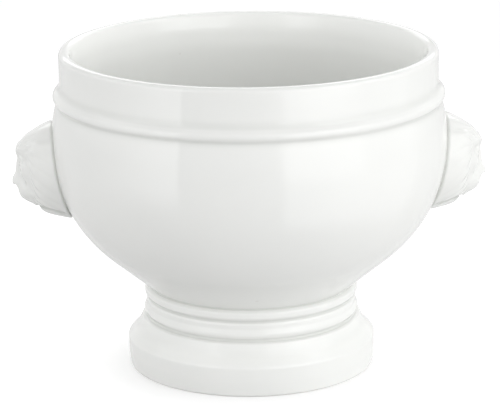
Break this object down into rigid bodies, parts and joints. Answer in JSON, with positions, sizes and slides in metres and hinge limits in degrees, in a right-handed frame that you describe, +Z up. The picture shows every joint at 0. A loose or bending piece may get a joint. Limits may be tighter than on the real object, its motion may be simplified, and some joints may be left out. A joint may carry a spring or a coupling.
{
  "type": "soup crock",
  "caption": "Round footed soup crock of white glazed porcelain with a beaded collar, a turned pedestal foot and a lion-head lug on each side.",
  "frame": {"origin": "middle of the foot ring, on the table", "axes": "+Z up along the bowl's axis, +X through the lion heads, -Y towards the picture's viewer"},
  "size_m": [0.1488, 0.124, 0.1015],
  "materials": {
    "glaze": "glossy white glaze over porcelain"
  },
  "bodies": {
    "root": {"bowl": "glaze", "pedestal_foot": "glaze", "lion_head_left": "glaze", "lion_head_right": "glaze"}
  },
  "joints": []
}
